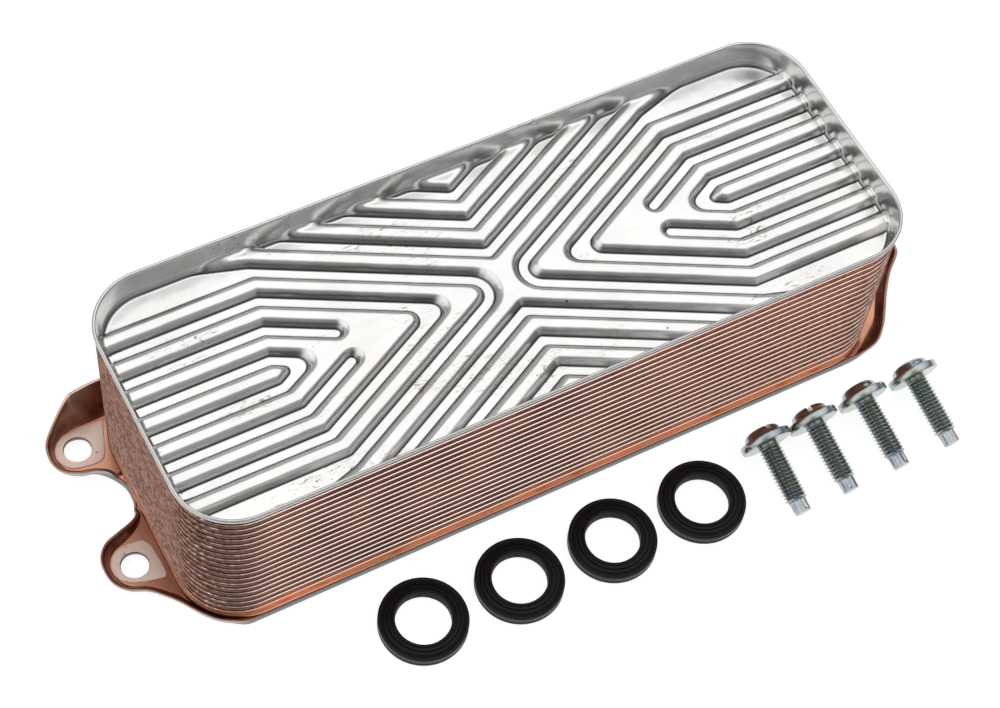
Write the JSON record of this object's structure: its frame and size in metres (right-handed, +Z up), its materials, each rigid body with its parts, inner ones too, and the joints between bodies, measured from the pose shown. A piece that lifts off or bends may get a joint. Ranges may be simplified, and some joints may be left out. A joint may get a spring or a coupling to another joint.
{
  "type": "plate heat exchanger",
  "caption": "Brazed plate heat exchanger on a mounting plate with eared corners, ribbed end plate, loose port seals and flange-head fixing screws.",
  "frame": {"origin": "middle of the mounting plate's underside, on the surface the object stands on", "axes": "+X along the length, away from the visible pair of ears; +Y across, away from the loose seals and screws; +Z up, from the mounting plate to the ribbed end plate"},
  "size_m": [0.2348, 0.1093, 0.0548],
  "materials": {
    "copper_braze": "dull copper braze film on thin stainless sheet",
    "bright_steel": "bright rolled stainless sheet",
    "coppered_steel": "smooth coppered sheet",
    "black_rubber": "matt moulded",
    "zinc_plate": "clear zinc plating with a faint yellow and blue tint"
  },
  "bodies": {
    "exchanger": {"mount_plate": "coppered_steel", "base_plate": "coppered_steel", "port_plate_1": "copper_braze", "port_plate_2": "copper_braze", "port_plate_3": "copper_braze", "channel_plate_01": "copper_braze", "channel_plate_02": "copper_braze", "channel_plate_03": "copper_braze", "channel_plate_04": "copper_braze", "channel_plate_05": "copper_braze", "channel_plate_06": "copper_braze", "channel_plate_07": "copper_braze", "channel_plate_08": "copper_braze", "channel_plate_09": "copper_braze", "channel_plate_10": "copper_braze", "channel_plate_11": "copper_braze", "channel_plate_12": "copper_braze", "channel_plate_13": "copper_braze", "channel_plate_14": "copper_braze", "channel_plate_15": "copper_braze", "channel_plate_16": "copper_braze", "backing_plate": "copper_braze", "end_plate": "bright_steel"},
    "seal_1_loose": {"seal_1": "black_rubber"},
    "seal_2_loose": {"seal_2": "black_rubber"},
    "seal_3_loose": {"seal_3": "black_rubber"},
    "seal_4_loose": {"seal_4": "black_rubber"},
    "screw_1_loose": {"screw_1": "zinc_plate"},
    "screw_2_loose": {"screw_2": "zinc_plate"},
    "screw_3_loose": {"screw_3": "zinc_plate"},
    "screw_4_loose": {"screw_4": "zinc_plate"}
  },
  "joints": [
    {"name": "seal_1_lift", "type": "slide", "parent": "exchanger", "child": "seal_1_loose", "axis": [0, 0, 1], "range_m": [0, 0.06]},
    {"name": "seal_2_lift", "type": "slide", "parent": "exchanger", "child": "seal_2_loose", "axis": [0, 0, 1], "range_m": [0, 0.06]},
    {"name": "seal_3_lift", "type": "slide", "parent": "exchanger", "child": "seal_3_loose", "axis": [0, 0, 1], "range_m": [0, 0.06]},
    {"name": "seal_4_lift", "type": "slide", "parent": "exchanger", "child": "seal_4_loose", "axis": [0, 0, 1], "range_m": [0, 0.06]},
    {"name": "screw_1_lift", "type": "slide", "parent": "exchanger", "child": "screw_1_loose", "axis": [0, 0, 1], "range_m": [0, 0.06]},
    {"name": "screw_2_lift", "type": "slide", "parent": "exchanger", "child": "screw_2_loose", "axis": [0, 0, 1], "range_m": [0, 0.06]},
    {"name": "screw_3_lift", "type": "slide", "parent": "exchanger", "child": "screw_3_loose", "axis": [0, 0, 1], "range_m": [0, 0.06]},
    {"name": "screw_4_lift", "type": "slide", "parent": "exchanger", "child": "screw_4_loose", "axis": [0, 0, 1], "range_m": [0, 0.06]}
  ]
}
